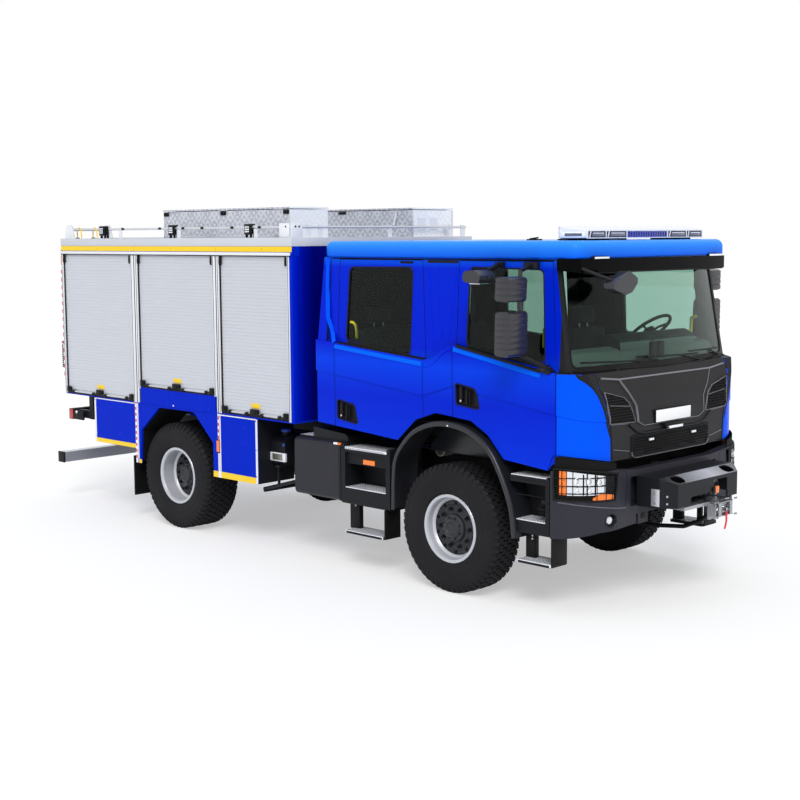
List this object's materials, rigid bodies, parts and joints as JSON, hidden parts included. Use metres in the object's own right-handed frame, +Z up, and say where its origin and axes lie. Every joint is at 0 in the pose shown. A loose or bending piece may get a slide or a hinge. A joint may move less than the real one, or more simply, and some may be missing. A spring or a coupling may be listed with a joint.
{
  "type": "crew-cab emergency service truck",
  "caption": "Two-axle crew-cab rescue truck with turning and steering wheels, opening doors, a shuttered equipment body, roof lockers and a front winch.",
  "frame": {"origin": "on the ground under the middle of the truck's bounding box", "axes": "+X forwards, +Y to the vehicle's left, +Z up"},
  "size_m": [8.183, 3.08, 3.364],
  "materials": {
    "cab_paint": "gloss",
    "body_paint": "gloss",
    "frame_black": "satin",
    "trim_black": "grained",
    "bumper_grey": "satin",
    "tyre_rubber": "matte",
    "rim_silver": "satin",
    "cast_black": "rough",
    "spring_steel": "rough",
    "alloy": "brushed",
    "checker_alloy": "checker plate",
    "shutter_alloy": "anodised",
    "screen_glass": "clear",
    "visor_smoke": "smoked",
    "lamp_glass": "clear",
    "warning_glass": "clear",
    "seat_cloth": "woven",
    "dash_plastic": "grained",
    "strap_red": "woven",
    "winch_steel": "zinc",
    "lamp_red": "gloss",
    "tank_grey": "satin"
  },
  "bodies": {
    "truck": {"chassis_frame": "frame_black", "drivetrain": "cast_black", "leaf_springs": "spring_steel", "front_axle": "cast_black", "rear_axle": "cast_black", "side_tanks": "tank_grey", "additive_tank": "trim_black", "cab_steps": "trim_black", "front_fenders": "trim_black", "rear_arch_liners": "trim_black", "corner_panels": "cab_paint", "cab_shell": "cab_paint", "cab_roof": "cab_paint", "windscreen": "screen_glass", "sun_visor": "visor_smoke", "front_mirror": "trim_black", "light_bar": "warning_glass", "dashboard": "dash_plastic", "seats": "seat_cloth", "bumper": "bumper_grey", "headlamps": "lamp_glass", "winch_box": "bumper_grey", "winch": "winch_steel", "pull_strap": "strap_red", "body_floor": "body_paint", "body_walls": "body_paint", "body_roof": "body_paint", "shutters": "shutter_alloy", "lower_lockers": "body_paint", "roof_gallery": "alloy", "roof_box_right": "checker_alloy", "roof_box_left": "checker_alloy", "work_lights": "trim_black", "tail_lamps": "lamp_red", "underrun_beam": "alloy"},
    "knuckle_right": {"knuckle_right": "cast_black"},
    "knuckle_left": {"knuckle_left": "cast_black"},
    "tie_rod": {"tie_rod": "cast_black"},
    "steering_wheel": {"steering_wheel": "dash_plastic"},
    "grille_flap": {"grille_panel": "bumper_grey"},
    "roof_lid_right": {"roof_lid_right": "checker_alloy"},
    "roof_lid_left": {"roof_lid_left": "checker_alloy"},
    "wheel_front_right": {"tyre_front_right": "tyre_rubber", "wheel_front_right": "rim_silver"},
    "door_front_right": {"door_front_right": "cab_paint", "window_front_right": "screen_glass", "mirrors_right": "trim_black"},
    "wheel_front_left": {"tyre_front_left": "tyre_rubber", "wheel_front_left": "rim_silver"},
    "door_front_left": {"door_front_left": "cab_paint", "window_front_left": "screen_glass", "mirrors_left": "trim_black"},
    "wheel_rear_right": {"tyre_rear_right": "tyre_rubber", "wheel_rear_right": "rim_silver"},
    "door_rear_right": {"door_rear_right": "cab_paint", "window_rear_right": "screen_glass"},
    "wheel_rear_left": {"tyre_rear_left": "tyre_rubber", "wheel_rear_left": "rim_silver"},
    "door_rear_left": {"door_rear_left": "cab_paint", "window_rear_left": "screen_glass"}
  },
  "joints": [
    {"name": "steer_left", "type": "hinge", "parent": "truck", "child": "knuckle_left", "pos_m": [2.2305, 1, 0.562], "axis": [0, 0, 1], "range_deg": [-35, 35]},
    {"name": "steer_right", "type": "hinge", "parent": "truck", "child": "knuckle_right", "pos_m": [2.2305, -1, 0.562], "axis": [0, 0, 1], "range_deg": [-35, 35]},
    {"name": "tie_rod_pin", "type": "hinge", "parent": "knuckle_left", "child": "tie_rod", "pos_m": [2.0305, 1, 0.48], "axis": [0, 0, 1], "range_deg": [-35.5, 35.5]},
    {"name": "steering_wheel_turn", "type": "hinge", "parent": "truck", "child": "steering_wheel", "pos_m": [3.0105, 0.56, 2.215], "axis": [-0.6402, 0, 0.7682], "range_deg": [-631, 631]},
    {"name": "roll_front_right", "type": "hinge", "parent": "knuckle_right", "child": "wheel_front_right", "pos_m": [2.2305, -1.109, 0.562], "axis": [0, 1, 0], "continuous": true},
    {"name": "roll_front_left", "type": "hinge", "parent": "knuckle_left", "child": "wheel_front_left", "pos_m": [2.2305, 1.109, 0.562], "axis": [0, 1, 0], "continuous": true},
    {"name": "roll_rear_right", "type": "hinge", "parent": "truck", "child": "wheel_rear_right", "pos_m": [-1.7195, -1.027, 0.562], "axis": [0, 1, 0], "continuous": true},
    {"name": "roll_rear_left", "type": "hinge", "parent": "truck", "child": "wheel_rear_left", "pos_m": [-1.7195, 1.027, 0.562], "axis": [0, 1, 0], "continuous": true},
    {"name": "open_front_door_right", "type": "hinge", "parent": "truck", "child": "door_front_right", "pos_m": [3.3455, -1.219, 1.9], "axis": [0, 0, 1], "range_deg": [0, 70]},
    {"name": "open_front_door_left", "type": "hinge", "parent": "truck", "child": "door_front_left", "pos_m": [3.3455, 1.219, 1.9], "axis": [0, 0, -1], "range_deg": [0, 70]},
    {"name": "open_rear_door_right", "type": "hinge", "parent": "truck", "child": "door_rear_right", "pos_m": [1.8805, -1.219, 1.9], "axis": [0, 0, 1], "range_deg": [0, 75]},
    {"name": "open_rear_door_left", "type": "hinge", "parent": "truck", "child": "door_rear_left", "pos_m": [1.8805, 1.219, 1.9], "axis": [0, 0, -1], "range_deg": [0, 75]},
    {"name": "lift_grille_flap", "type": "hinge", "parent": "truck", "child": "grille_flap", "pos_m": [3.5555, 0, 1.979], "axis": [0, -1, 0], "range_deg": [0, 75]},
    {"name": "open_roof_lid_right", "type": "hinge", "parent": "truck", "child": "roof_lid_right", "pos_m": [-1.1125, -1.008, 3.345], "axis": [1, 0, 0], "range_deg": [0, 95]},
    {"name": "open_roof_lid_left", "type": "hinge", "parent": "truck", "child": "roof_lid_left", "pos_m": [-1.0595, 1.083, 3.345], "axis": [-1, 0, 0], "range_deg": [0, 95]}
  ],
  "couplings": [
    {"joint": "steer_right", "follows": "steer_left", "ratio": 1},
    {"joint": "tie_rod_pin", "follows": "steer_left", "ratio": -1},
    {"joint": "steering_wheel_turn", "follows": "steer_left", "ratio": 18}
  ]
}
